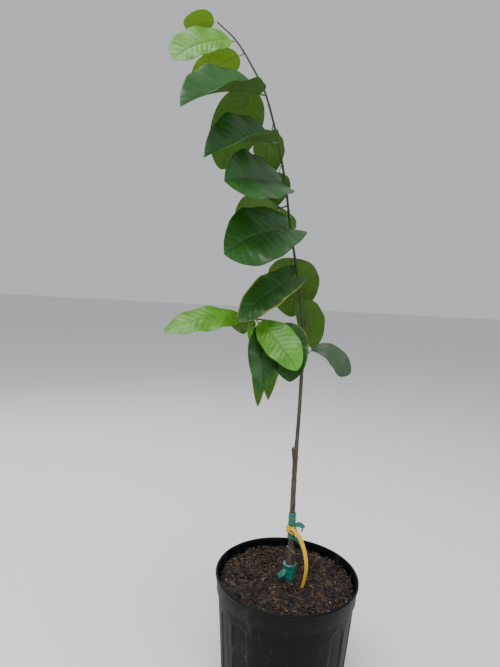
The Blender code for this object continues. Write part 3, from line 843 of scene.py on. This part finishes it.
def pot_outline():
    """The shell's outline as radii and heights, and the places of the wall's points in it."""
    lip_foot = POT_HEIGHT - LIP_HEIGHT
    roll = [
        (LIP_RADIUS - 0.0020 + 0.0020 * math.cos(angle), POT_HEIGHT - 0.0020 + 0.0020 * math.sin(angle))
        for angle in np.linspace(math.pi / 2, 0, 8)
    ]
    ledge = [
        (LIP_RADIUS, lip_foot + 0.0010),
        (LIP_RADIUS - 0.0006, lip_foot + 0.0002), (BAND_RADIUS + 0.0002, lip_foot),
        (BAND_RADIUS, lip_foot - 0.0008), (BAND_RADIUS - 0.0009, BAND_FOOT + 0.0008),
        (BAND_RADIUS - 0.0013, BAND_FOOT + 0.0001), (BAND_RADIUS - 0.0022, BAND_FOOT - 0.0006),
        (BAND_RADIUS - 0.0024, BAND_FOOT - 0.0012), (BAND_RADIUS - 0.0024, BAND_FOOT - 0.0024),
        (BAND_RADIUS - 0.0029, BAND_FOOT - 0.0030), (BAND_RADIUS - STEP_IN, BAND_FOOT - 0.0034),
    ]
    wall = [(wall_radius(height), height) for height in np.linspace(0.2010, 0.0045, WALL_RINGS)]
    foot = [(wall_radius(0.002), 0.0018), (FOOT_RADIUS - 0.0012, 0.0005), (FOOT_RADIUS - 0.003, 0.0)]
    inside = [
        (FLOOR_OPENING, 0.0), (FLOOR_OPENING, WALL),
        (wall_radius(WALL) - WALL, WALL), (wall_radius(0.2) - WALL, 0.2),
        (BAND_RADIUS - WALL - 0.001, BAND_FOOT), (BAND_RADIUS - WALL, lip_foot),
        (LIP_RADIUS - 0.0042, POT_HEIGHT - 0.001), (LIP_RADIUS - 0.0034, POT_HEIGHT),
    ]
    wall_start = len(roll) + len(ledge)
    return roll + ledge + wall + foot + inside, range(wall_start, wall_start + len(wall))


def build_pot(skin):
    profile, fluted = pot_outline()
    bm = bmesh.new()
    rings = []
    for index, (radius, height) in enumerate(profile):
        ring = []
        for step in range(POT_STEPS):
            degrees = 360 * step / POT_STEPS
            angle = math.radians(degrees)
            reach = radius - (flute(degrees, height) if index in fluted else 0.0)
            ring.append(bm.verts.new((reach * math.cos(angle), reach * math.sin(angle), height)))
        rings.append(ring)
    for upper, lower in zip(rings, [*rings[1:], rings[0]]):
        for step in range(POT_STEPS):
            after = (step + 1) % POT_STEPS
            bm.faces.new((upper[step], lower[step], lower[after], upper[after]))
    bmesh.ops.recalc_face_normals(bm, faces=bm.faces)
    pot = own(mesh_object("look_pot", bm, [skin]), "pot")
    pot.data.set_sharp_from_angle(angle=math.radians(50))


def add_disc(bm, segments, radius, depth):
    made = bmesh.ops.create_cone(
        bm, cap_ends=True, segments=segments, radius1=radius, radius2=radius, depth=depth
    )
    return made["verts"]


def build_pot_floor(skin):
    base = bmesh.new()
    add_disc(base, 96, FLOOR_RADIUS, WALL - 0.0001)
    bmesh.ops.translate(base, verts=base.verts, vec=(0, 0, WALL / 2))
    floor_disc = own(mesh_object("look_pot_floor", base, [skin]), None)
    holes = bmesh.new()
    for index in range(DRAIN_HOLES):
        angle = math.tau * (index + 0.5) / DRAIN_HOLES
        drill = add_disc(holes, 24, DRAIN_RADIUS, 0.02)
        place = (DRAIN_RING * math.cos(angle), DRAIN_RING * math.sin(angle), 0.0)
        bmesh.ops.translate(holes, verts=drill, vec=place)
    carve(floor_disc, mesh_object("drain_cut", holes, [skin]))
    for polygon in floor_disc.data.polygons:
        polygon.use_smooth = False


PLASTIC = plastic_look()
build_pot(PLASTIC)
build_pot_floor(PLASTIC)
soil = frame["nodes"]["soil"]
soil.data.materials.clear()
soil.data.materials.append(soil_look())


# Loose chips on the potting mix
CHIPS = 3600
CHIP_RING = 0.128
SOIL_TOP = 0.2195
LITTER_LIFT = 0.0045


def settle(bm, verts, distance, angle, lift, lean, size):
    """Scales these vertices, leans them and moves them to their place on the mix."""
    place = Vector((distance * math.cos(angle), distance * math.sin(angle), SOIL_TOP + lift))
    turned = Matrix.Translation(place) @ lean.to_matrix().to_4x4()
    bmesh.ops.transform(bm, verts=verts, matrix=turned @ Matrix.Diagonal((*size, 1.0)))


def build_chips():
    bm = bmesh.new()
    shade = bm.verts.layers.float.new("shade")
    for _ in range(CHIPS):
        distance = CHIP_RING * math.sqrt(random.random())
        angle = random.uniform(0, math.tau)
        long = random.uniform(0.004, 0.013)
        tone = random.random() ** 3
        made = bmesh.ops.create_cube(bm, size=1.0)
        size = (long, long * random.uniform(0.3, 0.8), random.uniform(0.0012, 0.0035))
        lean = Euler((random.gauss(0, 0.45), random.gauss(0, 0.45), random.uniform(0, math.tau)))
        lift = random.uniform(0, 0.004)
        for vert in made["verts"]:
            vert.co += Vector([random.uniform(-0.22, 0.22) for _ in range(3)])
            vert[shade] = tone
        settle(bm, made["verts"], distance, angle, lift, lean, size)
    obj = mesh_object("look_chips", bm, [chip_look()])
    for polygon in obj.data.polygons:
        polygon.use_smooth = False
    own(obj, None)


def scattered(name, count, shape, material):
    """Small pieces of one kind lying on the mix. Shape gives each one's half sizes."""
    bm = bmesh.new()
    for _ in range(count):
        distance = CHIP_RING * math.sqrt(random.random())
        angle = random.uniform(0, math.tau)
        made = bmesh.ops.create_icosphere(bm, subdivisions=1, radius=1.0)
        lean = Euler((random.gauss(0, 0.2), random.gauss(0, 0.2), random.uniform(0, math.tau)))
        settle(bm, made["verts"], distance, angle, LITTER_LIFT, lean, shape())
    own(mesh_object(name, bm, [material]), None)


def build_litter():
    def stick():
        return random.uniform(0.006, 0.015), random.uniform(0.0005, 0.0011), random.uniform(0.0004, 0.0008)

    def speck():
        size = random.uniform(0.0006, 0.0014)
        return size, size * random.uniform(0.6, 1.0), size * 0.7

    def prill():
        return 0.0013, 0.0013, 0.0013

    scattered("look_sticks", 130, stick, plain("dry_stick", (0.16, 0.095, 0.050), 0.8))
    scattered("look_dark_sticks", 170, stick, plain("wet_stick", (0.035, 0.018, 0.010), 0.8))
    scattered("look_specks", 90, speck, plain("pale_speck", (0.50, 0.48, 0.43), 0.8))
    scattered("look_prills", 22, prill, plain("feed_prill", (0.42, 0.45, 0.12), 0.5))


build_chips()
build_litter()


# Stage
LENS = 27.0
SENSOR_WIDTH = 36.0
CAMERA_PLACE = (-0.097, -0.95, 0.782)
CAMERA_PITCH = 4.5
CAMERA_ROLL = 3.0
SKY_COLOUR = (0.92, 0.95, 1.0, 1.0)
SKY_STRENGTH = 0.60
FLOOR_COLOUR = (0.80, 0.79, 0.77, 1.0)

floor_mesh = bmesh.new()
bmesh.ops.create_grid(floor_mesh, x_segments=1, y_segments=1, size=30.0)
floor_look = Look("stage_floor", 0.9)
floor_look.shader.inputs["Base Color"].default_value = FLOOR_COLOUR
floor = mesh_object("stage_floor", floor_mesh, [floor_look.material])


def area_light(name, place, aim, size, power):
    data = bpy.data.lights.new(name, "AREA")
    data.size = size
    data.energy = power
    light = bpy.data.objects.new(name, data)
    bpy.context.scene.collection.objects.link(light)
    light.location = place
    light.rotation_euler = (Vector(aim) - Vector(place)).to_track_quat("-Z", "Y").to_euler()


area_light("sky_light", (-0.6, -0.8, 3.2), (0, 0, 0.6), 2.0, 95)
area_light("front_light", (1.4, -2.4, 1.8), (0, 0, 0.7), 1.6, 26)
area_light("back_light", (-1.6, 1.8, 2.0), (0, 0, 0.8), 1.4, 22)
world = bpy.data.worlds.new("soft_sky")
world.use_nodes = True
background = world.node_tree.nodes["Background"]
background.inputs["Color"].default_value = SKY_COLOUR
background.inputs["Strength"].default_value = SKY_STRENGTH
bpy.context.scene.world = world

camera_data = bpy.data.cameras.new("camera")
camera_data.lens = LENS
camera_data.sensor_width = SENSOR_WIDTH
camera = bpy.data.objects.new("camera", camera_data)
bpy.context.scene.collection.objects.link(camera)
camera.location = CAMERA_PLACE
camera.rotation_euler = Euler((math.radians(90 - CAMERA_PITCH), 0.0, 0.0))
camera.matrix_world = camera.matrix_basis @ Matrix.Rotation(math.radians(CAMERA_ROLL), 4, "Z")
bpy.context.scene.camera = camera
